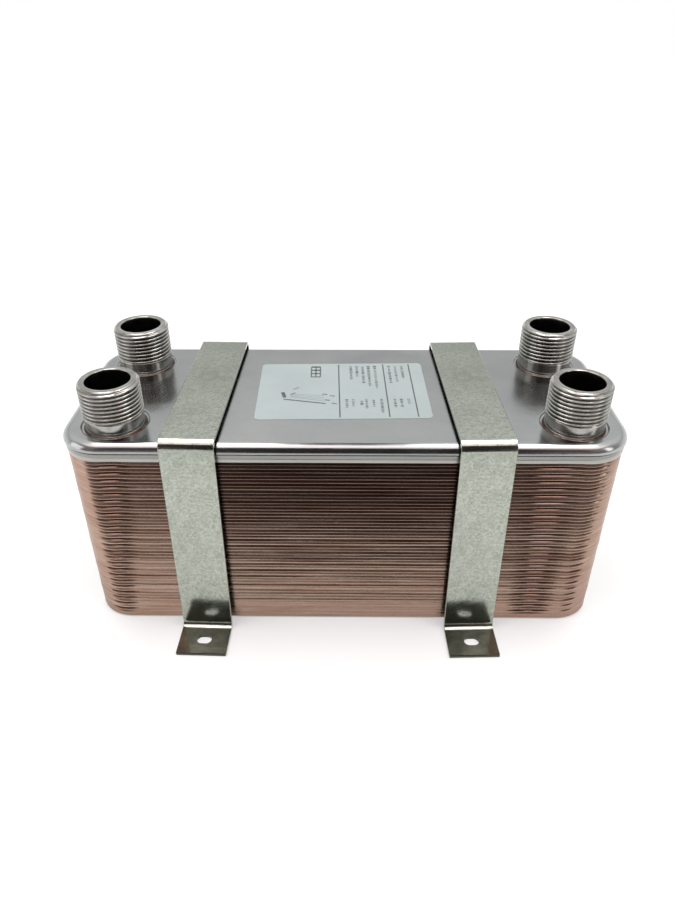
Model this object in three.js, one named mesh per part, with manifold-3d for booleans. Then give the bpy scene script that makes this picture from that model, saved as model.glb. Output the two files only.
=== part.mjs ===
// Brazed plate heat exchanger lying on its back, with four threaded nipples on its front cover and
// two loose sheet-metal mounting brackets laid over it. Millimetres, +Z up, +X along the plates.
import * as THREE from "three";
import { mergeVertices } from "three/addons/utils/BufferGeometryUtils.js";
import Module from "manifold-3d";

const wasm = await Module();
wasm.setup();

// Front cover: a stamped plate with a rounded, turned-down rim.
const COVER_LENGTH = 310;
const COVER_WIDTH = 123;
const COVER_CORNER_RADIUS = 24;
const COVER_TOP = 126.5;
const COVER_THICKNESS = 3;
const COVER_EDGE_RADIUS = 4.9;
const COVER_RIM_DEPTH = 5.3;
const COVER_RIM_WALL = 2;

// Plate pack: trays with a flared skirt, nested one under the other.
const PITCH = 2.3;
const CHANNEL_PLATES = 49;
const SKIRT_DEPTH = 7.4;
const SKIRT_FLARE = 2.4;
const CHANNEL_SHEET = 0.4;
const END_SHEET = 0.8;
const BACK_SHEET = 1;
const PACK_INSET = 1.1;
const END_INSET = 0.65;
const END_SKIRT_BOTTOM = 115.8;
const END_BAND_HEIGHT = 4.6;
const END_NECK_INSET = 2.4;
const END_NECK_SHEET = 0.5;

// Ports: the four corners of a rectangle, each with a recess in the cover and a nipple.
const PORT_X = 126.3;
const PORT_Y = 36.7;
const BORE_RADIUS = 12;
const PLATE_HOLE_RADIUS = 12.3;
const RECESS_RADIUS = 18.5;
const RECESS_DEPTH = 1.2;
const COLLAR_RADIUS = 16.2;
const COLLAR_HOLE_RADIUS = 16.6;
const NIPPLE_HEIGHT = 26.5;

// Pipe thread of nominal size one inch, as annular ridges.
const THREAD_PITCH = 2.309;
const THREAD_RIDGES = 8;
const THREAD_CREST_RADIUS = 16.55;
const THREAD_ROOT_RADIUS = 15.35;
const MOUTH_CHAMFER = 1.5;
const BORE_CHAMFER = 0.5;

// Brackets: one strip bent into a hat, its legs leaning outwards and its feet flat.
const STRIP_WIDTH = 29.6;
const STRIP_SHEET = 2;
const STRIP_TOP = COVER_TOP + 4.2;
const STRIP_CORNER_Y = 64.6;
const STRIP_SPLAY = THREE.MathUtils.degToRad(1.8);
const BEND_RADIUS = 4.5;
const FOOT_END_Y = 91.4;
const FOOT_HOLE_Y = 80.4;
const FOOT_SLOT_LENGTH = 9;
const FOOT_SLOT_WIDTH = 6.5;
const LEFT_BRACKET = { x: -80.7, turn: -1.55 };
const RIGHT_BRACKET = { x: 73.4, turn: 1.95 };

// Label: a thin sheet stuck on the cover between the brackets.
const LABEL_LENGTH = 100;
const LABEL_WIDTH = 69;
const LABEL_SHEET = 0.25;
const LABEL_CORNER_RADIUS = 3;
const LABEL_GAP = 0.3;
const LABEL_PLACE = { x: -1, y: 1.6, turn: 1.3 };

const COARSE = { corner: 3, port: 8 };
const FINE = { corner: 8, port: 24 };
const LATHE_STEPS = 24;
const BEND_STEPS = 5;
const ARC_STEPS = 6;

function steel(color, roughness) {
  return new THREE.MeshStandardMaterial({ color, roughness, metalness: 1 });
}

const STAINLESS = 0xb9bab8;
const COPPER_TINT = 0x9c7468;
const ZINC = 0xaab0a6;
const LABEL_WHITE = 0xe8ebe9;

const exchanger = new THREE.Group();
exchanger.name = "plate_heat_exchanger";

function addMesh(name, geometry, material) {
  const mesh = new THREE.Mesh(geometry, material);
  mesh.name = name;
  exchanger.add(mesh);
  return mesh;
}

// The plates' outline at an inset, anticlockwise from above.
function outline(inset, cornerSteps) {
  const points = [];
  const radius = COVER_CORNER_RADIUS - inset;
  const centreX = COVER_LENGTH / 2 - COVER_CORNER_RADIUS;
  const centreY = COVER_WIDTH / 2 - COVER_CORNER_RADIUS;
  const corners = [[1, 1], [-1, 1], [-1, -1], [1, -1]];
  corners.forEach(([sideX, sideY], quarter) => {
    for (let step = 0; step <= cornerSteps; step++) {
      const angle = (quarter + step / cornerSteps) * Math.PI / 2;
      const x = sideX * centreX + radius * Math.cos(angle);
      const y = sideY * centreY + radius * Math.sin(angle);
      points.push(new THREE.Vector2(x, y));
    }
  });
  return points;
}

function circle(centreX, centreY, radius, steps) {
  const points = [];
  for (let step = 0; step < steps; step++) {
    const angle = (step / steps) * 2 * Math.PI;
    points.push(new THREE.Vector2(centreX + radius * Math.cos(angle), centreY + radius * Math.sin(angle)));
  }
  return points;
}

const PORTS = [
  { name: "front_left", x: -PORT_X, y: -PORT_Y },
  { name: "front_right", x: PORT_X, y: -PORT_Y },
  { name: "back_left", x: -PORT_X, y: PORT_Y },
  { name: "back_right", x: PORT_X, y: PORT_Y },
];

// A dished plate. rim runs from the top face's edge down the outside, under and up the inside, as
// [inset, z]. wall runs down each port's hole, as [radius, z]. Both end on the underside.
function plateGeometry(rim, wall, ports, detail) {
  const positions = [];
  const triangles = [];
  const addRing = (points, z) => {
    const first = positions.length / 3;
    points.forEach((point) => positions.push(point.x, point.y, z));
    return points.map((_, index) => first + index);
  };
  const addBand = (upper, lower) => {
    upper.forEach((a, index) => {
      const next = (index + 1) % upper.length;
      triangles.push(a, lower[index], upper[next]);
      triangles.push(upper[next], lower[index], lower[next]);
    });
  };
  const skirtPoints = rim.map(([inset]) => outline(inset, detail.corner));
  const skirt = rim.map(([, z], index) => addRing(skirtPoints[index], z));
  skirt.slice(1).forEach((ring, index) => addBand(skirt[index], ring));
  const holePoints = ports.map((port) => wall.map(([radius]) => circle(port.x, port.y, radius, detail.port)));
  const holes = holePoints.map((rings) => rings.map((points, index) => addRing(points, wall[index][1])));
  holes.forEach((rings) => rings.slice(1).forEach((ring, index) => addBand(ring, rings[index])));
  const addFace = (level, faceUp) => {
    const edge = skirtPoints.at(level);
    const rings = holePoints.map((points) => points.at(level));
    const numbers = [skirt.at(level), ...holes.map((hole) => hole.at(level))].flat();
    THREE.ShapeUtils.triangulateShape(edge, rings).forEach(([a, b, c]) => {
      const corner = [numbers[a], numbers[b], numbers[c]];
      triangles.push(...(faceUp ? corner : corner.reverse()));
    });
  };
  addFace(0, true);
  addFace(-1, false);
  const geometry = new THREE.BufferGeometry();
  geometry.setAttribute("position", new THREE.Float32BufferAttribute(positions, 3));
  geometry.setIndex(triangles);
  return geometry;
}

// The rim of a nested tray: a flat top, a skirt flaring down to its bottom edge, and the same
// again inside by one sheet thickness.
function trayRim(inset, skirtBottom, sheet) {
  const top = skirtBottom + SKIRT_DEPTH;
  const slope = SKIRT_FLARE / SKIRT_DEPTH;
  const across = sheet * Math.hypot(1, slope);
  const innerTopInset = inset + SKIRT_FLARE - sheet * slope + across;
  return [
    [inset + SKIRT_FLARE, top],
    [inset, skirtBottom],
    [inset + across, skirtBottom],
    [innerTopInset, top - sheet],
  ];
}

function trayGeometry(inset, skirtBottom, sheet, ports) {
  const top = skirtBottom + SKIRT_DEPTH;
  const wall = [[PLATE_HOLE_RADIUS, top], [PLATE_HOLE_RADIUS, top - sheet]];
  return plateGeometry(trayRim(inset, skirtBottom, sheet), wall, ports, COARSE);
}

// The plate under the cover: its skirt is joggled, so that its lower band hangs straight under the
// cover's rim and its neck fits inside it.
function endPlateGeometry() {
  const top = END_SKIRT_BOTTOM + SKIRT_DEPTH;
  const shoulder = END_SKIRT_BOTTOM + END_BAND_HEIGHT;
  const innerNeckInset = END_NECK_INSET + END_NECK_SHEET;
  const rim = [
    [END_NECK_INSET + END_SHEET / 2, top],
    [END_NECK_INSET, top - END_SHEET / 2],
    [END_NECK_INSET, shoulder + END_SHEET],
    [END_INSET, shoulder],
    [END_INSET, END_SKIRT_BOTTOM],
    [END_INSET + END_SHEET, END_SKIRT_BOTTOM],
    [END_INSET + END_SHEET, shoulder - END_NECK_SHEET],
    [innerNeckInset, shoulder + END_SHEET / 5],
    [innerNeckInset, top - END_SHEET],
  ];
  const wall = [[PLATE_HOLE_RADIUS, top], [PLATE_HOLE_RADIUS, top - END_SHEET]];
  return plateGeometry(rim, wall, PORTS, FINE);
}

function coverGeometry() {
  const rim = [];
  for (let step = 0; step <= BEND_STEPS; step++) {
    const angle = (step / BEND_STEPS) * Math.PI / 2;
    const inset = COVER_EDGE_RADIUS * (1 - Math.sin(angle));
    rim.push([inset, COVER_TOP - COVER_EDGE_RADIUS * (1 - Math.cos(angle))]);
  }
  rim.push([0, COVER_TOP - COVER_RIM_DEPTH]);
  rim.push([COVER_RIM_WALL, COVER_TOP - COVER_RIM_DEPTH]);
  rim.push([COVER_RIM_WALL, COVER_TOP - COVER_THICKNESS]);
  const wall = [
    [RECESS_RADIUS, COVER_TOP],
    [RECESS_RADIUS, COVER_TOP - RECESS_DEPTH],
    [COLLAR_HOLE_RADIUS, COVER_TOP - RECESS_DEPTH],
    [COLLAR_HOLE_RADIUS, COVER_TOP - COVER_THICKNESS],
  ];
  return plateGeometry(rim, wall, PORTS, FINE);
}

// Half section of a nipple, anticlockwise in radius and height: up the outside, down the bore.
function nippleGeometry() {
  const mouth = COVER_TOP + NIPPLE_HEIGHT;
  const threadTop = mouth - MOUTH_CHAMFER;
  const threadBottom = threadTop - THREAD_RIDGES * THREAD_PITCH;
  const foot = COVER_TOP - COVER_THICKNESS;
  const section = [[BORE_RADIUS, foot], [COLLAR_RADIUS, foot], [COLLAR_RADIUS, threadBottom]];
  for (let ridge = 0; ridge < THREAD_RIDGES; ridge++) {
    const crest = threadBottom + (ridge + 0.5) * THREAD_PITCH;
    section.push([THREAD_CREST_RADIUS, crest]);
    section.push([THREAD_ROOT_RADIUS, crest + THREAD_PITCH / 2]);
  }
  section.push([THREAD_CREST_RADIUS - MOUTH_CHAMFER, mouth]);
  section.push([BORE_RADIUS + BORE_CHAMFER, mouth]);
  section.push([BORE_RADIUS, mouth - BORE_CHAMFER]);
  section.push([BORE_RADIUS, foot]);
  const points = section.map(([radius, z]) => new THREE.Vector2(radius, z));
  const geometry = new THREE.LatheGeometry(points, LATHE_STEPS);
  geometry.rotateX(Math.PI / 2);
  return welded(geometry);
}

// One closed surface: the same points shared by every triangle that meets there.
function welded(geometry) {
  geometry.deleteAttribute("normal");
  geometry.deleteAttribute("uv");
  return mergeVertices(geometry, 1e-4);
}

function solidOf(geometry) {
  const closed = welded(geometry);
  const mesh = new wasm.Mesh({
    numProp: 3,
    vertProperties: closed.attributes.position.array,
    triVerts: new Uint32Array(closed.index.array),
  });
  return new wasm.Manifold(mesh);
}

function geometryOf(solid) {
  const mesh = solid.getMesh();
  const geometry = new THREE.BufferGeometry();
  geometry.setAttribute("position", new THREE.BufferAttribute(mesh.vertProperties, 3));
  geometry.setIndex(new THREE.BufferAttribute(mesh.triVerts, 1));
  return geometry;
}

// Middle line of half a bracket from its centre outwards, in y and z: top, bend, leg, bend, foot.
function stripMiddleLine() {
  const bend = Math.PI / 2 - STRIP_SPLAY;
  const half = STRIP_SHEET / 2;
  const topRun = STRIP_CORNER_Y - (BEND_RADIUS + half) * Math.tan(bend / 2);
  const drop = STRIP_TOP - STRIP_SHEET - 2 * BEND_RADIUS * (1 - Math.cos(bend));
  const legRun = drop / Math.sin(bend);
  const line = [{ y: 0, z: STRIP_TOP - half, heading: 0 }];
  const last = () => line[line.length - 1];
  const goStraight = (length) => {
    const { y, z, heading } = last();
    line.push({ y: y + length * Math.cos(heading), z: z + length * Math.sin(heading), heading });
  };
  const goRound = (side) => {
    const { y, z, heading } = last();
    const centreY = y - side * BEND_RADIUS * Math.sin(heading);
    const centreZ = z + side * BEND_RADIUS * Math.cos(heading);
    for (let step = 1; step <= BEND_STEPS; step++) {
      const turned = heading + side * bend * step / BEND_STEPS;
      const nextY = centreY + side * BEND_RADIUS * Math.sin(turned);
      const nextZ = centreZ - side * BEND_RADIUS * Math.cos(turned);
      line.push({ y: nextY, z: nextZ, heading: turned });
    }
  };
  goStraight(topRun);
  goRound(-1);
  goStraight(legRun);
  goRound(1);
  goStraight(FOOT_END_Y - last().y);
  return line.slice(1);
}

function bracketGeometry() {
  const half = STRIP_SHEET / 2;
  const middle = stripMiddleLine();
  const side = (offset) => middle.map(({ y, z, heading }) => {
    return new THREE.Vector2(y - offset * Math.sin(heading), z + offset * Math.cos(heading));
  });
  const mirrored = (points) => points.map((point) => new THREE.Vector2(-point.x, point.y)).reverse();
  const upper = [...mirrored(side(half)), ...side(half)];
  const lower = [...mirrored(side(-half)), ...side(-half)].reverse();
  const shape = new THREE.Shape([...upper, ...lower]);
  const strip = new THREE.ExtrudeGeometry(shape, { depth: STRIP_WIDTH, bevelEnabled: false });
  // The section's y and z become the part's, and the extrusion runs along x.
  const axes = new THREE.Matrix4().makeBasis(
    new THREE.Vector3(0, 1, 0),
    new THREE.Vector3(0, 0, 1),
    new THREE.Vector3(1, 0, 0),
  );
  strip.applyMatrix4(axes);
  strip.translate(-STRIP_WIDTH / 2, 0, 0);
  let solid = solidOf(strip);
  for (const sideY of [-1, 1]) solid = solid.subtract(slotSolid(sideY * FOOT_HOLE_Y));
  return geometryOf(solid);
}

// A cutter for a foot's slot, standing through the foot at a given y.
function slotSolid(y) {
  const radius = FOOT_SLOT_WIDTH / 2;
  const reach = (FOOT_SLOT_LENGTH - FOOT_SLOT_WIDTH) / 2;
  const shape = new THREE.Shape();
  shape.absarc(reach, 0, radius, -Math.PI / 2, Math.PI / 2, false);
  shape.absarc(-reach, 0, radius, Math.PI / 2, 1.5 * Math.PI, false);
  const depth = 2 * STRIP_SHEET;
  const cutter = new THREE.ExtrudeGeometry(shape, { depth, bevelEnabled: false, curveSegments: ARC_STEPS });
  cutter.translate(0, y, -STRIP_SHEET / 2);
  return solidOf(cutter);
}

function labelGeometry() {
  const halfLength = LABEL_LENGTH / 2 - LABEL_CORNER_RADIUS;
  const halfWidth = LABEL_WIDTH / 2 - LABEL_CORNER_RADIUS;
  const shape = new THREE.Shape();
  shape.absarc(halfLength, halfWidth, LABEL_CORNER_RADIUS, 0, Math.PI / 2, false);
  shape.absarc(-halfLength, halfWidth, LABEL_CORNER_RADIUS, Math.PI / 2, Math.PI, false);
  shape.absarc(-halfLength, -halfWidth, LABEL_CORNER_RADIUS, Math.PI, 1.5 * Math.PI, false);
  shape.absarc(halfLength, -halfWidth, LABEL_CORNER_RADIUS, 1.5 * Math.PI, 2 * Math.PI, false);
  const sheet = { depth: LABEL_SHEET, bevelEnabled: false, curveSegments: ARC_STEPS };
  return new THREE.ExtrudeGeometry(shape, sheet).translate(0, 0, COVER_TOP + LABEL_GAP);
}

function addPlates() {
  addMesh("front_cover_plate", coverGeometry(), steel(STAINLESS, 0.3));
  addMesh("front_end_plate", endPlateGeometry(), steel(STAINLESS, 0.35));
  for (let number = 1; number <= CHANNEL_PLATES; number++) {
    const skirtBottom = END_SKIRT_BOTTOM - number * PITCH;
    const plate = trayGeometry(PACK_INSET, skirtBottom, CHANNEL_SHEET, PORTS);
    addMesh("channel_plate_" + String(number).padStart(2, "0"), plate, steel(COPPER_TINT, 0.35));
  }
  const backSkirtBottom = END_SKIRT_BOTTOM - (CHANNEL_PLATES + 1) * PITCH;
  const backCover = trayGeometry(PACK_INSET, backSkirtBottom, BACK_SHEET, []);
  addMesh("back_cover_plate", backCover, steel(COPPER_TINT, 0.35));
}

function addNipples() {
  for (const port of PORTS) {
    const nipple = addMesh("nipple_" + port.name, nippleGeometry(), steel(STAINLESS, 0.25));
    nipple.position.set(port.x, port.y, 0);
  }
}

function addBracket(name, place) {
  const bracket = addMesh(name, bracketGeometry(), steel(ZINC, 0.4));
  bracket.position.x = place.x;
  bracket.rotation.z = THREE.MathUtils.degToRad(place.turn);
}

function addLabel() {
  const paper = new THREE.MeshStandardMaterial({ color: LABEL_WHITE, roughness: 0.5, metalness: 0 });
  const label = addMesh("label", labelGeometry(), paper);
  label.position.set(LABEL_PLACE.x, LABEL_PLACE.y, 0);
  label.rotation.z = THREE.MathUtils.degToRad(LABEL_PLACE.turn);
}

addPlates();
addNipples();
addBracket("left_bracket", LEFT_BRACKET);
addBracket("right_bracket", RIGHT_BRACKET);
addLabel();

export default exchanger;
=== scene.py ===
"""A brazed plate heat exchanger lying on its back, with two loose strap brackets over it."""
import math
import random

import bmesh
import bpy
from mathutils import Matrix, Vector, noise
from mathutils.geometry import tessellate_polygon


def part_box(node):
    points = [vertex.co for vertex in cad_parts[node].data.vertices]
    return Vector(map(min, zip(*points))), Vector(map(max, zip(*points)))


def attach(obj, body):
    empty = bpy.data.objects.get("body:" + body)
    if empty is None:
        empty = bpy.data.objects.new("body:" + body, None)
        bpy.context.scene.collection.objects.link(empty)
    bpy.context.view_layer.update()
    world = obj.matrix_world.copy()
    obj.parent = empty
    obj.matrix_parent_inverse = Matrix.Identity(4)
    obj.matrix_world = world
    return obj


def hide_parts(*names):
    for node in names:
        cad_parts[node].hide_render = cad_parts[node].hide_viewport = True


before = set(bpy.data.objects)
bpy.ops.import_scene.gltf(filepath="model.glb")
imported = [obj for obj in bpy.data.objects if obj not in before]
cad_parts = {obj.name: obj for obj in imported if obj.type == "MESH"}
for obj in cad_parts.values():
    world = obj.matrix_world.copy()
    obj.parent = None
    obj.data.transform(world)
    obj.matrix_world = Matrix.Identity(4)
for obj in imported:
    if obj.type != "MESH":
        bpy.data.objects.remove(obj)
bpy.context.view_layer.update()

MM = 0.001


def box_mm(node):
    low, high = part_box(node)
    return low / MM, high / MM


# Sizes in millimetres, in the row frame.
COVER_LOW, COVER_HIGH = box_mm("front_cover_plate")
COVER_LENGTH = COVER_HIGH.x - COVER_LOW.x
COVER_WIDTH = COVER_HIGH.y - COVER_LOW.y
COVER_TOP = COVER_HIGH.z
RIM_BOTTOM = COVER_LOW.z
CORNER_RADIUS = 24
EDGE_RADIUS = 4.9
COVER_THICKNESS = 3
RIM_WALL = 2
RECESS_RADIUS = 18.5
RECESS_DEPTH = 1.2
RECESS_FILLET = 0.55
COLLAR_RADIUS = 16.2
COLLAR_HOLE_RADIUS = 16.6
PLATE_HOLE_RADIUS = 12.3

BORE_RADIUS = 12
THREAD_PITCH = 2.309
THREAD_ROOT = 15.25
THREAD_LENGTH = 18.5
THREAD_RUN_OUT = 1.3
MOUTH_CHAMFER = 1.5
MOUTH_RADIUS = 15.0
MOUTH_FLAT_RADIUS = 14.75
BORE_CHAMFER = 0.5

STRIP_WIDTH = 29.6
STRIP_SHEET = 2
STRIP_CORNER_Y = 64.6
STRIP_SPLAY = math.radians(1.8)
BEND_RADIUS = 4.5
FOOT_HOLE_Y = 80.4
FOOT_SLOT = (9, 6.5)
BRACKET_TURN = {"left": math.radians(-1.55), "right": math.radians(1.95)}

LABEL_SIZE = (100, 69)
LABEL_CORNER = 3
LABEL_TOP = COVER_TOP + 0.14
LABEL_TURN = math.radians(1.3)
INK_BOTTOM = LABEL_TOP - 0.02
INK_TOP = LABEL_TOP + 0.012

PORTS = ("front_left", "front_right", "back_left", "back_right")
CHANNELS = [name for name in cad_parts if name.startswith("channel_plate_")]


# ------------------------------------------------------------------ materials
class Graph:
    """A new material's nodes. Its pattern space is the object's own, in metres."""

    def __init__(self, name, **surface):
        self.material = bpy.data.materials.new(name)
        self.material.use_nodes = True
        self.tree = self.material.node_tree
        self.surface = self.tree.nodes["Principled BSDF"]
        for key, value in surface.items():
            self.surface.inputs[key.replace("_", " ").capitalize()].default_value = value
        self.place = self.add("ShaderNodeTexCoord").outputs["Object"]

    def add(self, kind, inputs=None, **settings):
        node = self.tree.nodes.new(kind)
        for key, value in settings.items():
            setattr(node, key, value)
        for key, value in (inputs or {}).items():
            if isinstance(value, bpy.types.NodeSocket):
                self.tree.links.new(value, node.inputs[key])
            else:
                node.inputs[key].default_value = value
        return node

    def set(self, key, value):
        self.tree.links.new(value, self.surface.inputs[key])

    def stretched(self, scale):
        inputs = {"Vector": self.place, "Scale": scale}
        return self.add("ShaderNodeMapping", inputs).outputs["Vector"]

    def noise(self, scale, detail=3.0, stretch=(1, 1, 1), vector=None):
        place = vector or self.stretched(stretch)
        inputs = {"Vector": place, "Scale": scale, "Detail": detail}
        return self.add("ShaderNodeTexNoise", inputs).outputs["Fac"]

    def remap(self, value, low, high, to_low=0.0, to_high=1.0):
        inputs = {"Value": value, "From Min": low, "From Max": high}
        inputs |= {"To Min": to_low, "To Max": to_high}
        return self.add("ShaderNodeMapRange", inputs).outputs["Result"]

    def math(self, operation, first, second):
        return self.add("ShaderNodeMath", {0: first, 1: second}, operation=operation).outputs[0]

    def mix(self, amount, first, second):
        inputs = {0: amount, 6: first, 7: second}
        return self.add("ShaderNodeMix", inputs, data_type="RGBA").outputs[2]

    def attribute(self, name):
        return self.add("ShaderNodeAttribute", attribute_name=name).outputs["Fac"]

    def bumps(self, *layers):
        """Each layer is a height and how deep it is in metres, the broadest first."""
        normal = None
        for height, depth in layers:
            inputs = {"Height": height, "Distance": depth, "Strength": 1.0}
            if normal:
                inputs["Normal"] = normal
            normal = self.add("ShaderNodeBump", inputs).outputs["Normal"]
        self.set("Normal", normal)


def rgb(red, green, blue):
    return (red, green, blue, 1.0)


def satin_steel():
    g = Graph("satin stainless", metallic=1.0)
    clouds = g.noise(14, 4)
    smudges = g.noise(45, 5, (1.0, 1.6, 1.0))
    grain = g.noise(1800, 2, (1.0, 0.35, 1.0))
    tone = g.mix(g.remap(clouds, 0.35, 0.65), rgb(0.34, 0.352, 0.356), rgb(0.405, 0.413, 0.405))
    tone = g.mix(g.remap(grain, 0.3, 0.7, 0.0, 0.10), tone, rgb(0.22, 0.22, 0.228))
    g.set("Base Color", tone)
    rough = g.math("ADD", g.remap(smudges, 0.3, 0.7, 0.14, 0.21), g.remap(grain, 0, 1, 0, 0.04))
    g.set("Roughness", rough)
    g.bumps((clouds, 0.0005), (grain, 0.000003))
    return g.material


def copper_steel():
    """Stainless sheet coloured by the copper braze and streaked along each plate, with painted
    shade in the slits, the gapes and the hidden faces, and towards the pack's top between the
    brackets.
    """
    g = Graph("copper stained steel", metallic=1.0)
    streaks = g.noise(60, 5, (0.35, 0.35, 9.0))
    patches = g.noise(16, 4, (0.6, 0.6, 1.6))
    grain = g.noise(1500, 2, (0.4, 0.4, 1.4))
    tone = g.mix(g.remap(streaks, 0.35, 0.66), rgb(0.290, 0.178, 0.132), rgb(0.450, 0.338, 0.268))
    tone = g.mix(g.remap(patches, 0.35, 0.7, 0.0, 0.55), tone, rgb(0.365, 0.242, 0.195))
    tone = g.mix(g.remap(grain, 0.35, 0.75, 0.0, 0.22), tone, rgb(0.155, 0.088, 0.066))
    # Painted shade: the attribute turns the colour near black in the slits, the gapes and on hidden
    # faces.
    shade = g.attribute("shade")
    tone = g.mix(shade, tone, rgb(0.034, 0.009, 0.009))
    g.set("Base Color", tone)
    rough = g.remap(streaks, 0.3, 0.7, 0.17, 0.28)
    g.set("Roughness", g.math("ADD", rough, g.remap(shade, 0.6, 1.0, 0.0, 0.25)))
    g.bumps((patches, 0.0005), (streaks, 0.00003), (grain, 0.000012))
    return g.material


def end_steel():
    g = Graph("end plate steel", metallic=1.0)
    streaks = g.noise(70, 5, (0.3, 0.3, 8.0))
    clouds = g.noise(18, 3)
    tone = g.mix(g.remap(streaks, 0.35, 0.65), rgb(0.340, 0.338, 0.320), rgb(0.432, 0.428, 0.404))
    tone = g.mix(g.remap(clouds, 0.4, 0.75, 0.0, 0.4), tone, rgb(0.375, 0.360, 0.338))
    # Painted shade: darker under the cover's rim and on the hidden faces.
    tone = g.mix(g.attribute("shade"), tone, rgb(0.05, 0.035, 0.03))
    g.set("Base Color", tone)
    g.set("Roughness", g.remap(streaks, 0.3, 0.7, 0.24, 0.36))
    g.bumps((clouds, 0.0004), (streaks, 0.00003))
    return g.material


def galvanised():
    """Zinc with fine crystals, small dark pits and a faint greenish grey tone."""
    g = Graph("galvanised steel", metallic=1.0)
    crystals = g.add("ShaderNodeTexVoronoi", {"Vector": g.place, "Scale": 900.0}).outputs["Color"]
    crystal = g.add("ShaderNodeSeparateColor", {0: crystals}).outputs[0]
    clouds = g.noise(40, 4)
    streaks = g.noise(260, 4, (1.0, 1.0, 0.35))
    pits = g.noise(1500, 1)
    tone = g.mix(g.remap(clouds, 0.35, 0.65), rgb(0.390, 0.414, 0.354), rgb(0.455, 0.480, 0.415))
    tone = g.mix(g.remap(crystal, 0, 1, 0.0, 0.75), tone, rgb(0.265, 0.290, 0.250))
    tone = g.mix(g.remap(streaks, 0.45, 0.7, 0.0, 0.45), tone, rgb(0.46, 0.48, 0.435))
    tone = g.mix(g.remap(pits, 0.58, 0.68, 0.0, 0.55), tone, rgb(0.12, 0.12, 0.10))
    # Painted shade from the attribute: the strip's inner side, and its sheared faces, partly bare
    # cut steel and partly painted shade.
    g.set("Base Color", g.mix(g.attribute("shade"), tone, rgb(0.03, 0.03, 0.026)))
    rough = g.math("ADD", g.remap(crystal, 0, 1, 0.10, 0.16), g.remap(clouds, 0.3, 0.7, 0.0, 0.05))
    g.set("Roughness", rough)
    g.bumps((clouds, 0.00025), (streaks, 0.00002), (crystal, 0.000006))
    return g.material


def turned_steel():
    """Turned stainless: rings round the nipple's axis, which is the object's own Z axis."""
    g = Graph("turned stainless", metallic=1.0)
    parts = g.add("ShaderNodeSeparateXYZ", {0: g.place})
    flat = g.add("ShaderNodeCombineXYZ", {0: parts.outputs[0], 1: parts.outputs[1]}).outputs[0]
    radius = g.add("ShaderNodeVectorMath", {0: flat}, operation="LENGTH").outputs["Value"]
    rings = g.add("ShaderNodeCombineXYZ", {0: radius, 1: parts.outputs[2]}).outputs[0]
    turning = g.noise(4200, 2, vector=rings)
    darkening = g.noise(160, 4)
    tone = g.mix(g.remap(darkening, 0.4, 0.7), rgb(0.398, 0.396, 0.378), rgb(0.278, 0.270, 0.240))
    # Painted shade from the attribute: the thread's roots, the bore and the collar's foot.
    tone = g.mix(g.attribute("shade"), tone, rgb(0.05, 0.045, 0.04))
    g.set("Base Color", tone)
    rough = g.math("ADD", g.remap(turning, 0, 1, 0.09, 0.17), g.remap(darkening, 0.3, 0.7, 0.0, 0.08))
    g.set("Roughness", rough)
    g.bumps((darkening, 0.0001), (turning, 0.000010))
    return g.material


def braze_copper():
    g = Graph("braze copper", metallic=1.0)
    blots = g.noise(70, 3)
    fine = g.noise(900, 3)
    tone = g.mix(g.remap(blots, 0.42, 0.58), rgb(0.060, 0.021, 0.015), rgb(0.125, 0.115, 0.100))
    tone = g.mix(g.remap(fine, 0.4, 0.7, 0.0, 0.5), tone, rgb(0.03, 0.02, 0.016))
    g.set("Base Color", tone)
    g.set("Roughness", g.remap(fine, 0.3, 0.7, 0.22, 0.42))
    g.bumps((blots, 0.0003), (fine, 0.00005))
    return g.material


def label_paper():
    g = Graph("label paper", roughness=0.34)
    fibres = g.noise(900, 4)
    clouds = g.noise(30, 3)
    tone = g.mix(g.remap(clouds, 0.35, 0.65), rgb(0.250, 0.304, 0.302), rgb(0.280, 0.332, 0.332))
    g.set("Base Color", g.mix(g.remap(fibres, 0.3, 0.7, 0.0, 0.12), tone, rgb(0.219, 0.264, 0.262)))
    g.set("Roughness", g.remap(fibres, 0.3, 0.7, 0.30, 0.42))
    g.bumps((clouds, 0.0002), (fibres, 0.000008))
    return g.material


def print_ink():
    g = Graph("print ink", roughness=0.4)
    wear = g.noise(700, 4)
    faint = g.mix(g.remap(wear, 0.35, 0.7), rgb(0.025, 0.028, 0.028), rgb(0.075, 0.082, 0.082))
    g.set("Base Color", g.mix(g.attribute("shade"), faint, rgb(0.232, 0.260, 0.257)))
    g.set("Roughness", g.remap(wear, 0.3, 0.7, 0.35, 0.5))
    return g.material


SATIN = satin_steel()
COPPER = copper_steel()
END_STEEL = end_steel()
ZINC = galvanised()
TURNED = turned_steel()
BRAZE = braze_copper()
PAPER = label_paper()
INK = print_ink()


# --------------------------------------------------------------------- pieces
class Shell:
    """The points and faces of one piece in millimetres, and at each point a painted shade from 0 to
    1; on the label's print it sets how faint the ink is.
    """

    def __init__(self):
        self.points = []
        self.shades = []
        self.faces = []

    def ring(self, points, shade=0.0):
        first = len(self.points)
        self.points += points
        self.shades += shade if isinstance(shade, list) else [shade] * len(points)
        return list(range(first, len(self.points)))

    def band(self, first, second):
        for index in range(len(first)):
            after = (index + 1) % len(first)
            self.faces.append((first[index], first[after], second[after], second[index]))

    def bands(self, rings):
        for first, second in zip(rings, rings[1:]):
            self.band(first, second)

    def flat(self, outer, holes=()):
        loops = [outer, *holes]
        numbers = [number for loop in loops for number in loop]
        outlines = [[Vector(self.points[number]) for number in loop] for loop in loops]
        for corners in tessellate_polygon(outlines):
            self.faces.append(tuple(numbers[corner] for corner in corners))

    def mesh(self, name):
        mesh = bpy.data.meshes.new(name)
        mesh.from_pydata([Vector(point) * MM for point in self.points], [], self.faces)
        mesh.attributes.new("shade", "FLOAT", "POINT").data.foreach_set("value", self.shades)
        edit = bmesh.new()
        edit.from_mesh(mesh)
        bmesh.ops.recalc_face_normals(edit, faces=edit.faces)
        edit.to_mesh(mesh)
        edit.free()
        return mesh


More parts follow.
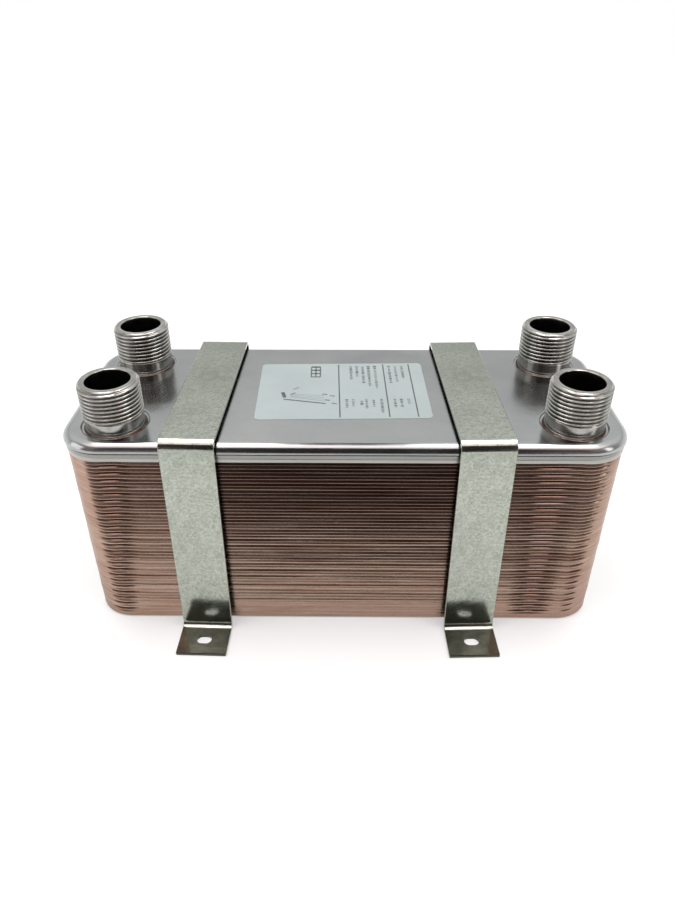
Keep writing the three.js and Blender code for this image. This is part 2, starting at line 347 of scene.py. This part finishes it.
def add_piece(name, mesh, material, body="exchanger", node=None, sharp=38, place=None):
    mesh.materials.clear()
    mesh.materials.append(material)
    mesh.polygons.foreach_set("use_smooth", [True] * len(mesh.polygons))
    mesh.set_sharp_from_angle(angle=math.radians(sharp))
    piece = bpy.data.objects.new(name, mesh)
    bpy.context.scene.collection.objects.link(piece)
    if place:
        piece.matrix_world = place
    evened = piece.modifiers.new("even normals", "WEIGHTED_NORMAL")
    evened.keep_sharp = True
    evened.weight = 60
    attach(piece, body)
    if node:
        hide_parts(node)
    return piece


def upright_place(centre, turn):
    """The place of a piece that is drawn round the Z axis and stands turned at a centre."""
    move = Matrix.Translation(Vector((centre.x, centre.y, 0)) * MM)
    return move @ Matrix.Rotation(turn, 4, "Z")


def smooth_step(value, low, high):
    t = min(1.0, max(0.0, (value - low) / (high - low)))
    return t * t * (3 - 2 * t)


def bell(value, centre, half_width):
    t = (value - centre) / half_width
    return (1 - t * t) ** 2 if abs(t) < 1 else 0.0


def circle(centre_x, centre_y, radius, z, steps=72):
    turns = [math.tau * step / steps for step in range(steps)]
    return [(centre_x + radius * math.cos(t), centre_y + radius * math.sin(t), z) for t in turns]


def rounded_rectangle(length, width, radius, corner_steps, spacing):
    """Points and outward normals round a rectangle with rounded corners, counter-clockwise."""
    found = []
    half_x = length / 2 - radius
    half_y = width / 2 - radius
    corners = [(half_x, -half_y), (half_x, half_y), (-half_x, half_y), (-half_x, -half_y)]
    for number, (x, y) in enumerate(corners):
        for step in range(corner_steps + 1):
            angle = (number - 1 + step / corner_steps) * math.pi / 2
            normal = Vector((math.cos(angle), math.sin(angle)))
            found.append((Vector((x, y)) + radius * normal, normal))
        start = found[-1][0]
        end = Vector(corners[(number + 1) % 4]) + radius * normal
        pieces = max(1, round((end - start).length / spacing))
        for step in range(1, pieces):
            found.append((start.lerp(end, step / pieces), normal))
    return found


OUTLINE = rounded_rectangle(COVER_LENGTH, COVER_WIDTH, CORNER_RADIUS, 18, 2.7)


def each(value):
    return value if isinstance(value, list) else [value] * len(OUTLINE)


def outline_ring(inset, z):
    """A ring that follows the cover's outline, moved in by inset. Both may vary along it."""
    rows = zip(OUTLINE, each(inset), each(z))
    return [(p.x - n.x * i, p.y - n.y * i, height) for (p, n), i, height in rows]


def port_centre(port):
    low, high = box_mm("nipple_" + port)
    return (low.x + high.x) / 2, (low.y + high.y) / 2


PORT_CENTRES = {port: port_centre(port) for port in PORTS}


def add_cover():
    """The cover: its rolled edge and rim as bands, and a sunk ring round each nipple's collar."""
    shell = Shell()
    outer = []
    bend_steps = 10
    for step in range(bend_steps + 1):
        angle = step / bend_steps * math.pi / 2
        inset = EDGE_RADIUS * (1 - math.sin(angle))
        z = COVER_TOP - EDGE_RADIUS * (1 - math.cos(angle))
        outer.append(shell.ring(outline_ring(inset, z)))
    lip = 0.25
    outer.append(shell.ring(outline_ring(0, RIM_BOTTOM + lip)))
    outer.append(shell.ring(outline_ring(lip, RIM_BOTTOM)))
    outer.append(shell.ring(outline_ring(RIM_WALL, RIM_BOTTOM)))
    outer.append(shell.ring(outline_ring(RIM_WALL, COVER_TOP - COVER_THICKNESS)))
    shell.bands(outer)

    tops, bottoms = [], []
    floor = COVER_TOP - RECESS_DEPTH
    half = RECESS_FILLET / 2
    for x, y in PORT_CENTRES.values():
        section = [
            (RECESS_RADIUS + RECESS_FILLET, COVER_TOP),
            (RECESS_RADIUS + half, COVER_TOP - 0.08),
            (RECESS_RADIUS, COVER_TOP - 0.30),
            (RECESS_RADIUS - half, floor + 0.30),
            (RECESS_RADIUS - RECESS_FILLET, floor + 0.10),
            (RECESS_RADIUS - 2 * RECESS_FILLET, floor),
            (COLLAR_HOLE_RADIUS, floor),
            (COLLAR_HOLE_RADIUS, COVER_TOP - COVER_THICKNESS),
        ]
        rings = [shell.ring(circle(x, y, radius, z)) for radius, z in section]
        shell.bands(rings)
        tops.append(rings[0])
        bottoms.append(rings[-1])
    shell.flat(outer[0], tops)
    shell.flat(outer[-1], bottoms)
    mesh = shell.mesh("cover_pressing")
    add_piece("cover_pressing", mesh, SATIN, node="front_cover_plate")


def add_tray(name, node, material, rings, holes=True):
    """A pressed tray from rings of (insets, heights, shades), from its top to its underside."""
    shell = Shell()
    numbers = [shell.ring(outline_ring(inset, z), shade) for inset, z, shade in rings]
    shell.bands(numbers)
    tops, bottoms = [], []
    for x, y in PORT_CENTRES.values() if holes else ():
        # Painted shade: the walls of the port holes are dark.
        top = shell.ring(circle(x, y, PLATE_HOLE_RADIUS, rings[0][1], 40), 1.0)
        bottom = shell.ring(circle(x, y, PLATE_HOLE_RADIUS, rings[-1][1], 40), 1.0)
        shell.band(top, bottom)
        tops.append(top)
        bottoms.append(bottom)
    shell.flat(numbers[0], tops)
    shell.flat(numbers[-1], bottoms)
    add_piece(name, shell.mesh(name), material, node=node)


# Where the plates gape a little, at the pack's foot: centre along the long side, half length and
# strength. A gape tucks the skirt in a little and darkens it with painted shade.
GAPES = ((-136, 11, 1.0), (113, 17, 0.95), (137, 6, 0.4))
# How far the left gape moves along by the pack's top.
GAPE_DRIFT = 10
# Where all the skirts together wander up or down: centre, half length and rise.
WAVES = ((-139, 9, -0.45), (-124, 9, 0.30), (115, 17, 0.28), (133, 8, -0.28))
END_GAPES = ((-29, 11, 0.7), (29, 11, 0.7))


def along_side(point, normal, side_rows, end_rows=()):
    """The sum of the rows' bells at a point. Long-side rows count in front and, turned, behind."""
    total = 0.0
    for rows, facing, along in (
        (side_rows, -normal.y, point.x),
        (side_rows, normal.y, -point.x),
        (end_rows, abs(normal.x), point.y),
    ):
        weight = smooth_step(facing, 0.30, 0.85)
        total += weight * sum(amount * bell(along, centre, half) for centre, half, amount in rows)
    return total


CORNER = [1 - smooth_step(min(abs(n.x), abs(n.y)), 0.1, 0.55) for p, n in OUTLINE]
WAVE = [along_side(p, n, WAVES) for p, n in OUTLINE]
WANDER = [Vector((p.x, p.y, 0.0)) for p, n in OUTLINE]

# A channel plate's skirt: inset, height over the lip, and how much of the painted shade in the slit
# it takes.
SKIRT = (
    (2.40, 7.40, 1.0),
    (1.07, 3.30, 1.0),
    (0.76, 2.34, 1.0),
    (0.64, 1.97, 1.0),
    (0.53, 1.66, 0.75),
    (0.42, 1.34, 0.15),
    (0.24, 0.86, 0.0),
    (0.10, 0.52, 0.0),
    (0.02, 0.26, 0.0),
    (0.03, 0.09, 0.0),
    (0.12, 0.00, 0.0),
)
SKIRT_INSIDE = ((0.36, 0.03, 1.0), (0.55, 0.50, 1.0), (1.47, 3.30, 1.0), (2.70, 7.00, 1.0))
# Below this height over the lip a skirt shows; above it the next plate's skirt covers it.
SHOWN_SKIRT = 2.2
# From this height over the lip up, a skirt is held by its neighbour and follows no ripple.
HELD_SKIRT = 3.3


def channel_rings(number, node, chance):
    """The rings of one tray. Every other plate has the stronger line of painted shade in its slit,
    and the gapes.
    """
    low, high = box_mm(node)
    pack_inset = (COVER_LENGTH - (high.x - low.x)) / 2
    strong = number % 2 == 0
    inset_shift = chance.uniform(-0.04, 0.05)
    lip_shift = chance.uniform(-0.05, 0.09)
    line = chance.uniform(0.85, 1.1) if strong else chance.uniform(0.35, 0.75)
    height = smooth_step(low.z, 26, 92)
    drift = GAPE_DRIFT * low.z / COVER_TOP
    gape_rows = [(centre + (drift if centre < 0 else 0), half * (0.85 + 0.4 * height), amount)
                 for centre, half, amount in GAPES]
    gapes = [along_side(p, n, gape_rows, END_GAPES) for p, n in OUTLINE]
    rings = []
    offsets = [noise.noise(p / 35 + Vector((0, 0, 3.7 * number))) for p in WANDER]
    fade = [noise.noise(p / 60 + Vector((40, 0, low.z / 25))) for p in WANDER]
    # Beyond the brackets the slits close towards the pack's foot, so their painted shade fades
    # there. Between the brackets painted shade darkens the plates towards the pack's top.
    closed = 0.95 * (1 - smooth_step(low.z, 64, 110))
    darkening = 0.38 * smooth_step(low.z, 48, 112)
    shut = [1 - closed * smooth_step(abs(p.x), 70, 92) for p in WANDER]
    painted_shade = [darkening * (1 - smooth_step(abs(p.x), 62, 96)) for p in WANDER]
    # How dark the painted shade in each slit is along the plate: fainter in the corners, stronger
    # towards the top and in the gapes of every other plate.
    strength = []
    for s, f, g, c in zip(shut, fade, gapes, CORNER):
        slit = line * s * (0.16 + 1.22 * height + 0.5 * f) * (0.25 + 0.75 * c)
        strength.append(min(1.0, slit + 1.2 * g * strong))
    for inset, rise, shade in SKIRT + SKIRT_INSIDE:
        loose = smooth_step(HELD_SKIRT - rise, 0, 1.0)
        tuck = smooth_step(rise, 0.8, 1.7) * loose * (1.0 if strong else 0.35)
        drop = smooth_step(rise, 0.5, 1.3) * loose * (0.45 if strong else 0.0)
        lip = smooth_step(1.0 - rise, 0, 0.8) * lip_shift
        insets = [pack_inset + inset + inset_shift + lip + 0.07 * o * loose + 0.42 * tuck * g
                  for o, g in zip(offsets, gapes)]
        heights = [low.z + rise + w * loose - drop * g for w, g in zip(WAVE, gapes)]
        # Painted shade for each row: its share of the slit's shade, more in the gapes, plus the
        # darkening at the top; a covered row is shaded fully.
        gaping = 1.3 * smooth_step(rise, 0.9, 1.3) if strong else 0.0
        shades = [max(0.0, min(1.0, shade * s + gaping * g + t)) if rise < SHOWN_SKIRT else 1.0
                  for s, g, t in zip(strength, gapes, painted_shade)]
        if loose == 0:
            heights = low.z + rise
        rings.append((insets, heights, shades))
    return rings


def add_channel_plates():
    chance = random.Random(7)
    for node in CHANNELS:
        number = int(node.rsplit("_", 1)[1])
        rings = channel_rings(number, node, chance)
        add_tray("channel_pressing_%02d" % number, node, COPPER, rings)


def add_back_cover():
    """The closed tray at the foot of the pack, as (inset, height) rows."""
    low, high = box_mm("back_cover_plate")
    inset = (COVER_LENGTH - (high.x - low.x)) / 2
    section = (
        (2.40, 7.40), (1.07, 3.30), (0.76, 2.34), (0.42, 1.34), (0.24, 0.80), (0.06, 0.35),
        (0.0, 0.15), (0.12, 0.0), (0.95, 0.02), (1.15, 0.5), (2.05, 3.3), (3.05, 6.4),
    )
    rings = [([inset + i] * len(OUTLINE), low.z + rise, 0.0) for i, rise in section]
    add_tray("back_cover_pressing", "back_cover_plate", COPPER, rings, holes=False)


def add_end_plate():
    """The end plate, whose skirt is the light band under the cover: inset, height and painted
    shade, darkest under the cover's rim and on the hidden faces.
    """
    low, high = box_mm("front_end_plate")
    inset = (COVER_LENGTH - (high.x - low.x)) / 2
    section = (
        (1.75, high.z - low.z, 0.8), (1.75, 5.2, 0.5), (0.55, 4.75, 0.35), (0.14, 4.55, 0.30),
        (0.10, 4.2, 0.30), (0.12, 2.55, 0.30), (0.14, 2.42, 0.32), (0.10, 2.28, 0.1),
        (0.02, 2.00, 0.0), (0.0, 0.75, 0.0), (0.03, 0.30, 0.0), (0.20, 0.0, 0.0),
        (0.80, 0.03, 0.4), (0.95, 4.0, 0.8), (2.35, 5.0, 0.8), (2.45, high.z - low.z - 0.8, 0.8),
    )
    rings = []
    for offset, rise, shade in section:
        heights = low.z + rise
        if rise < 2:
            heights = [low.z + rise + 0.5 * w * (1 - rise / 2) for w in WAVE]
        rings.append(([inset + offset] * len(OUTLINE), heights, shade))
    add_tray("end_plate_pressing", "front_end_plate", END_STEEL, rings)


def add_nipple(port):
    """A nipple with a helical thread, a worn crest here and there, and a chamfered mouth."""
    node = "nipple_" + port
    low, high = box_mm(node)
    x, y = PORT_CENTRES[port]
    crest = (high.x - low.x) / 2
    thread_top = high.z - MOUTH_CHAMFER
    thread_bottom = thread_top - THREAD_LENGTH
    steps = 132
    row_height = THREAD_PITCH / 15
    turns = [math.tau * step / steps for step in range(steps)]
    shell = Shell()
    rings = []

    def add_ring(radii, z, shade=0.0):
        points = [(r * math.cos(t), r * math.sin(t), z) for r, t in zip(radii, turns)]
        rings.append(shell.ring(points, shade))

    # Painted shade: darker down the bore and on the collar towards the cover.
    add_ring([BORE_RADIUS] * steps, low.z, 0.55)
    add_ring([COLLAR_RADIUS] * steps, low.z, 0.4)
    add_ring([COLLAR_RADIUS] * steps, COVER_TOP + 0.2, 0.1)
    add_ring([COLLAR_RADIUS] * steps, thread_bottom - 0.4)
    rows = round((high.z - thread_bottom) / row_height)
    for row in range(rows + 1):
        z = thread_bottom + (high.z - thread_bottom) * row / rows
        radii, shades = [], []
        run_out = smooth_step(z, thread_bottom, thread_bottom + THREAD_RUN_OUT)
        chamfer = MOUTH_RADIUS + (high.z - z) * 1.05
        for t in turns:
            phase = (z / THREAD_PITCH - t / math.tau) % 1.0
            peak = smooth_step(1 - abs(2 * phase - 1), 0.10, 0.86)
            nick = noise.noise(Vector((14 * math.cos(t) + x, 14 * math.sin(t) + y, z)) * 0.55)
            worn = 0.35 * max(0.0, nick - 0.42) * peak
            thread = THREAD_ROOT + (crest - THREAD_ROOT) * peak - worn
            radii.append(min(COLLAR_RADIUS + (thread - COLLAR_RADIUS) * run_out, chamfer))
            # Painted shade in the thread's roots, fading out at the run-out and near the mouth.
            shades.append(0.8 * (1 - peak) ** 2 * run_out * smooth_step(high.z - z, 0.8, 2.0))
        add_ring(radii, z, shades)
    add_ring([MOUTH_FLAT_RADIUS] * steps, high.z)
    add_ring([BORE_RADIUS + BORE_CHAMFER] * steps, high.z)
    add_ring([BORE_RADIUS] * steps, high.z - BORE_CHAMFER, 0.1)
    add_ring([BORE_RADIUS] * steps, high.z - 3.0, 0.25)
    shell.bands(rings + [rings[0]])
    place = Matrix.Translation(Vector((x, y, 0)) * MM)
    name = "threaded_nipple_" + port
    mesh = shell.mesh(name)
    add_piece(name, mesh, TURNED, node=node, sharp=50, place=place)


def add_braze(port, chance):
    """The fillet of copper round a collar's foot, uneven as it froze."""
    x, y = PORT_CENTRES[port]
    floor = COVER_TOP - RECESS_DEPTH
    steps = 110
    seed = Vector((chance.uniform(0, 50), chance.uniform(0, 50), 0))
    shell = Shell()
    columns = []
    for step in range(steps):
        t = math.tau * step / steps
        swell = noise.noise(seed + Vector((math.cos(t), math.sin(t), 0)) * 1.6)
        fine = noise.noise(seed + Vector((math.cos(t), math.sin(t), 0)) * 7)
        width = 1.15 + 0.55 * swell + 0.15 * fine
        height = 0.85 + 0.45 * swell - 0.15 * fine
        inner = COLLAR_RADIUS - 0.06
        section = [(inner, floor - 0.06), (inner, floor + height)]
        for part in (0.15, 0.35, 0.6, 0.85):
            section.append((inner + width * part ** 1.4, floor + height * (1 - part) ** 1.6))
        section.append((inner + width, floor + 0.02))
        section.append((inner + width, floor - 0.06))
        columns.append(shell.ring([(r * math.cos(t), r * math.sin(t), z) for r, z in section]))
    shell.bands(columns + [columns[0]])
    name = "braze_" + port
    place = Matrix.Translation(Vector((x, y, 0)) * MM)
    add_piece(name, shell.mesh(name), BRAZE, sharp=60, place=place)


def strip_line(top, foot_end):
    """The strip's middle line from its centre out to a foot's end, as (y, z, heading)."""
    bend = math.pi / 2 - STRIP_SPLAY
    half = STRIP_SHEET / 2
    bend_steps = 14
    line = [(0.0, top - half, 0.0)]

    def go_straight(length, parts):
        y, z, heading = line[-1]
        for part in range(1, parts + 1):
            run = length * part / parts
            line.append((y + run * math.cos(heading), z + run * math.sin(heading), heading))

    def go_round(side):
        y, z, heading = line[-1]
        centre_y = y - side * BEND_RADIUS * math.sin(heading)
        centre_z = z + side * BEND_RADIUS * math.cos(heading)
        for step in range(1, bend_steps + 1):
            turned = heading + side * bend * step / bend_steps
            line.append((
                centre_y + side * BEND_RADIUS * math.sin(turned),
                centre_z - side * BEND_RADIUS * math.cos(turned),
                turned,
            ))

    go_straight(STRIP_CORNER_Y - (BEND_RADIUS + half) * math.tan(bend / 2), 6)
    go_round(-1)
    drop = top - STRIP_SHEET - 2 * BEND_RADIUS * (1 - math.cos(bend))
    go_straight(drop / math.sin(bend), 12)
    go_round(1)
    go_straight(foot_end - line[-1][0], 4)
    return line


def strip_section(shrink=0.0):
    """The strip's rounded section, as (across, through) points."""
    corner = 0.35
    points = []
    half_width = STRIP_WIDTH / 2 - shrink - corner
    half_sheet = STRIP_SHEET / 2 - shrink - corner
    for number, (side_x, side_z) in enumerate(((1, -1), (1, 1), (-1, 1), (-1, -1))):
        for step in range(4):
            angle = (number - 1 + step / 3) * math.pi / 2
            across = side_x * half_width + corner * math.cos(angle)
            points.append((across, side_z * half_sheet + corner * math.sin(angle)))
    return points


def slot_cutter(y):
    """The body of a foot's slot, to be cut out of the strip."""
    shell = Shell()
    length, width = FOOT_SLOT
    outline = rounded_rectangle(length, width, width / 2 - 0.001, 10, 1.0)
    rings = [shell.ring([(p.x, p.y + y, z) for p, n in outline]) for z in (-1.0, 3.0)]
    shell.bands(rings)
    shell.flat(rings[0])
    shell.flat(rings[1])
    return shell


def shade_cut_faces(mesh, foot_end):
    """Gives the strip one shade for each face: the sheared faces of its slots and ends are dark,
    partly as bare cut steel and partly as painted shade.
    """
    points = [item.value for item in mesh.attributes["shade"].data]
    reach_x, reach_y = FOOT_SLOT[0] / 2 + 0.2, FOOT_SLOT[1] / 2 + 0.2
    shades = []
    for face in mesh.polygons:
        x, y, z = face.center / MM
        upright = abs(face.normal.z) < 0.4 and z < STRIP_SHEET
        in_slot = upright and abs(x) < reach_x and abs(abs(y) - FOOT_HOLE_Y) < reach_y
        at_end = upright and abs(y) > foot_end - 0.05
        inside = min(points[number] for number in face.vertices)
        shades.append(0.85 if in_slot or at_end else inside)
    mesh.attributes.remove(mesh.attributes["shade"])
    mesh.attributes.new("shade", "FLOAT", "FACE").data.foreach_set("value", shades)


def add_bracket(side):
    """A strip bent into a hat, swept along its middle line, with a slot cut in each foot."""
    node = side + "_bracket"
    low, high = box_mm(node)
    turn = BRACKET_TURN[side]
    foot_end = ((high.y - low.y) / 2 - STRIP_WIDTH / 2 * abs(math.sin(turn))) / math.cos(turn)
    half_line = strip_line(high.z, foot_end)
    line = [(-y, z, -heading) for y, z, heading in reversed(half_line[1:])] + half_line
    shell = Shell()
    rings = []
    ease = 0.3
    # Painted shade on the strip's inner side: under its top, behind its legs and under its feet.
    inner_shade = [1.0 if through < 0 else 0.0 for across, through in strip_section()]
    for number, (y, z, heading) in enumerate(line):
        if number in (0, len(line) - 1):
            y -= math.copysign(ease, y)
        section = [(across, y - through * math.sin(heading), z + through * math.cos(heading))
                   for across, through in strip_section()]
        rings.append(shell.ring(section, inner_shade))
    for number, end in ((0, line[0]), (1, line[-1])):
        y, z, heading = end
        capped = shell.ring([(across, y, z + through) for across, through in strip_section(ease)])
        shell.flat(capped)
        rings = rings + [capped] if number else [capped] + rings
    shell.bands(rings)

    strip = bpy.data.objects.new("strip", shell.mesh("strip"))
    bpy.context.scene.collection.objects.link(strip)
    cutters = []
    for y in (-FOOT_HOLE_Y, FOOT_HOLE_Y):
        cutter = bpy.data.objects.new("cutter", slot_cutter(y).mesh("cutter"))
        bpy.context.scene.collection.objects.link(cutter)
        cut = strip.modifiers.new("slot", "BOOLEAN")
        cut.object = cutter
        cut.operation = "DIFFERENCE"
        cut.solver = "EXACT"
        cutters.append(cutter)
    bpy.context.view_layer.update()
    depsgraph = bpy.context.evaluated_depsgraph_get()
    finished = bpy.data.meshes.new_from_object(strip.evaluated_get(depsgraph))
    shade_cut_faces(finished, foot_end)
    for spent in [strip, *cutters]:
        bpy.data.objects.remove(spent)
    centre = (low + high) / 2
    place = upright_place(centre, turn)
    body = side + "_strap"
    name = body + "_strip"
    add_piece(name, finished, ZINC, body=body, node=node, place=place)


def label_place():
    low, high = box_mm("label")
    centre = (low + high) / 2
    return upright_place(centre, LABEL_TURN)


def add_label():
    outline = rounded_rectangle(*LABEL_SIZE, LABEL_CORNER, 8, 4.0)
    shell = Shell()
    levels = [(0.0, COVER_TOP + 0.01), (0.0, LABEL_TOP - 0.05), (0.05, LABEL_TOP)]
    rings = [shell.ring([(p.x - n.x * inset, p.y - n.y * inset, z) for p, n in outline])
             for inset, z in levels]
    shell.bands(rings)
    shell.flat(rings[0])
    shell.flat(rings[-1])
    mesh = shell.mesh("label_sheet")
    add_piece("label_sheet", mesh, PAPER, node="label", place=label_place())


def add_print():
    """Plain rules, bars and a simple outline, as raised ink. None of it is lettering."""
    shell = Shell()
    chance = random.Random(11)

    def bar(x0, y0, x1, y1, thickness, faint=0.0):
        """A thin slab of ink from one point to another."""
        start, end = Vector((x0, y0)), Vector((x1, y1))
        across = (end - start).normalized().orthogonal() * thickness / 2
        corners = [start + across, start - across, end - across, end + across]
        rings = [shell.ring([(c.x, c.y, z) for c in corners], faint) for z in (INK_BOTTOM, INK_TOP)]
        shell.bands(rings)
        shell.flat(rings[0])
        shell.flat(rings[1])

    for x in (-2, 25.9, 42):
        bar(x, 33, x, -32.8, 0.75)
    rows = ((5.6, 31, 13), (9.3, 31, 16), (13, 30, 8), (16.6, 31, 4), (20.6, 31, 1),
            (29.5, 31, 8), (33.4, 30.5, 9), (37.5, 30.5, 14),
            (2.2, -12, -22), (5.9, -12, -21), (10.8, -14, -19), (13.6, -12, -23), (17.8, -13, -21),
            (22.4, -12, -28), (30.2, -12, -22), (33.9, -12, -22), (38.2, -12, -18))
    for x, top, bottom in rows:
        y = top
        while y > bottom:
            mark = chance.uniform(0.9, 2.4)
            bar(x, y, x, max(bottom, y - mark), chance.uniform(1.1, 1.9), chance.uniform(0.05, 0.6))
            y -= mark + chance.uniform(0.3, 0.9)
    for step in range(4):
        bar(-19, 30 - 4.5 * step, -13.4, 30 - 4.5 * step, 1.9 - 0.25 * step)
    for x in (-19, -16.2, -13.4):
        bar(x, 30, x, 16.5, 0.8, 0.15)
    bar(-34.5, -11.4, -10, -17.0, 1.1)
    bar(-35.5, -3, -34, -9.5, 2.2)
    for drop in (0, 1.6, 3.2, 4.6):
        bar(-31, -5 - 0.8 * drop, -11, -7.5 - 1.4 * drop, 0.35, 0.5)
    bar(-29.5, 0.5, -26, 3, 1.0, 0.35)
    bar(-30.5, -6, -28, -3.5, 1.0, 0.3)
    for x, y in ((-10.5, -5.5), (-6, -7.5), (-9, -12.5), (-5, -16.5)):
        bar(x - 1.6, y, x + 1.4, y - 0.8, 1.3, 0.3)
    add_piece("label_print", shell.mesh("label_print"), INK, place=label_place())


add_cover()
add_end_plate()
add_channel_plates()
add_back_cover()
fillets = random.Random(5)
for port_name in PORTS:
    add_nipple(port_name)
    add_braze(port_name, fillets)
add_bracket("left")
add_bracket("right")
add_label()
add_print()


# ---------------------------------------------------------- floor, light, camera
def add_sheet(name, corners, color, glow, seen=True):
    """A flat card of the set: the table, or a dark card that shows only in reflections."""
    mesh = bpy.data.meshes.new(name)
    mesh.from_pydata(corners, [], [tuple(range(len(corners)))])
    g = Graph(name, roughness=0.9)
    tint = g.noise(3, 2)
    tone = g.mix(g.remap(tint, 0.3, 0.7), color, rgb(*(0.97 * channel for channel in color[:3])))
    g.set("Base Color", tone)
    g.surface.inputs["Specular IOR Level"].default_value = 0.0
    g.surface.inputs["Emission Color"].default_value = color
    g.surface.inputs["Emission Strength"].default_value = glow
    mesh.materials.append(g.material)
    sheet = bpy.data.objects.new(name, mesh)
    bpy.context.scene.collection.objects.link(sheet)
    sheet.visible_camera = seen


# The table's edge: it ends sooner in the middle, where the person who looks at the object stands.
TABLE = (
    (-3, -1.5), (-0.31, -1.5), (-0.17, -0.46), (0.26, -0.46), (0.42, -1.2), (3, -1.2),
    (3, 4), (-3, 4),
)
add_sheet("floor", [(x, y, 0.0) for x, y in TABLE], rgb(0.600, 0.614, 0.614), 0.50)
# Dark upright cards in the person's place, which the metal reflects: across and up.
BODY_Y = -0.75
BODY = (
    (-0.20, 0.0), (0.24, 0.0), (0.24, 0.30), (0.40, 0.32), (0.40, 0.95), (-0.44, 0.95),
    (-0.44, 0.30), (-0.20, 0.28),
)
add_sheet("dark_body", [(x, BODY_Y, z) for x, z in BODY], rgb(0.05, 0.042, 0.04), 0.0, seen=False)
HEAD_Y = -0.43
HEAD = ((-0.19, 0.14), (0.20, 0.14), (0.20, 0.62), (-0.19, 0.62))
add_sheet("dark_head", [(x, HEAD_Y, z) for x, z in HEAD], rgb(0.03, 0.03, 0.03), 0.0, seen=False)
# A dark beam over the gap between the two overhead lights.
BEAM_HEIGHT = 1.36
BEAM = ((-0.16, -0.1), (0.18, -0.1), (0.18, 0.9), (-0.16, 0.9))
beam = [(x, y, BEAM_HEIGHT) for x, y in BEAM]
add_sheet("dark_beam", beam, rgb(0.04, 0.04, 0.04), 0.0, seen=False)


def add_light(name, place, aim, size, power):
    lamp = bpy.data.lights.new(name, "AREA")
    lamp.shape = "RECTANGLE"
    lamp.size, lamp.size_y = size
    lamp.energy = power
    holder = bpy.data.objects.new(name, lamp)
    holder.location = place
    holder.rotation_euler = (Vector(aim) - Vector(place)).to_track_quat("-Z", "Y").to_euler()
    holder.visible_camera = False
    bpy.context.scene.collection.objects.link(holder)


add_light("overhead_left", (-0.36, 0.10, 1.30), (-0.36, 0.0, 0.1), (0.40, 0.8), 6.3)
add_light("overhead_right", (0.37, 0.10, 1.30), (0.37, 0.0, 0.1), (0.38, 0.8), 6.0)
add_light("left_window", (-0.95, -0.30, 0.34), (-0.1, 0.0, 0.08), (0.5, 0.6), 1.5)
add_light("right_window", (0.80, -0.42, 0.42), (0.1, 0.0, 0.08), (0.2, 0.5), 0.8)

# The room's brightness by height above the horizon (the sine of the angle), in front and behind.
FRONT_SKY = (
    (0.0, 0.06), (0.03, 0.20), (0.09, 0.25), (0.20, 0.32), (0.72, 0.40), (0.80, 2.2), (1.0, 2.8),
)
BACK_SKY = (
    (0.0, 1.3), (0.28, 1.05), (0.42, 0.66), (0.54, 1.10), (0.72, 1.15), (0.90, 1.2), (0.99, 2.6),
    (1.0, 2.8),
)
# Green and blue against red in the room in front.
FRONT_TINT = (0.86, 0.85)


def add_room():
    """The room that the metal reflects, with a white backdrop seen by the camera."""
    world = bpy.data.worlds.new("room")
    bpy.context.scene.world = world
    world.use_nodes = True
    tree = world.node_tree
    nodes = tree.nodes
    background = nodes["Background"]
    split = nodes.new("ShaderNodeSeparateXYZ")
    tree.links.new(nodes.new("ShaderNodeTexCoord").outputs["Generated"], split.inputs[0])

    def sky(stops, tint=(1, 1)):
        ramp = nodes.new("ShaderNodeValToRGB")
        tree.links.new(split.outputs[2], ramp.inputs[0])
        elements = ramp.color_ramp.elements
        while len(elements) < len(stops):
            elements.new(0.5)
        for element, (position, value) in zip(elements, stops):
            element.position = position
            element.color = rgb(value, value * tint[0], value * tint[1])
        return ramp.outputs[0]

    facing = nodes.new("ShaderNodeMapRange")
    facing.interpolation_type = "SMOOTHSTEP"
    tree.links.new(split.outputs[1], facing.inputs["Value"])
    facing.inputs["From Min"].default_value = -0.35
    facing.inputs["From Max"].default_value = 0.35
    room = nodes.new("ShaderNodeMix")
    room.data_type = "RGBA"
    tree.links.new(facing.outputs["Result"], room.inputs[0])
    tree.links.new(sky(FRONT_SKY, FRONT_TINT), room.inputs[6])
    tree.links.new(sky(BACK_SKY), room.inputs[7])
    backdrop = nodes.new("ShaderNodeMix")
    backdrop.data_type = "RGBA"
    tree.links.new(nodes.new("ShaderNodeLightPath").outputs["Is Camera Ray"], backdrop.inputs[0])
    tree.links.new(room.outputs[2], backdrop.inputs[6])
    backdrop.inputs[7].default_value = rgb(1, 1, 1)
    tree.links.new(backdrop.outputs[2], background.inputs["Color"])


# The camera's place and lens in millimetres, and its pitch, yaw and roll in degrees.
CAMERA_PLACE = (0.815, -373.915, 328.067)
CAMERA_ANGLES = (33.07, -0.76, -0.19)
CAMERA_LENS = 28.49


def add_camera():
    pitch, yaw, roll = (math.radians(angle) for angle in CAMERA_ANGLES)
    lens = bpy.data.cameras.new("camera")
    lens.sensor_width = 36
    lens.lens = CAMERA_LENS
    lens.clip_start = 0.01
    camera = bpy.data.objects.new("camera", lens)
    turn = Matrix.Rotation(-yaw, 4, "Z") @ Matrix.Rotation(math.pi / 2 - pitch, 4, "X")
    turn = turn @ Matrix.Rotation(roll, 4, "Z")
    camera.matrix_world = Matrix.Translation(Vector(CAMERA_PLACE) * MM) @ turn
    bpy.context.scene.collection.objects.link(camera)
    bpy.context.scene.camera = camera


add_room()
add_camera()
bpy.context.scene.view_settings.view_transform = "Standard"
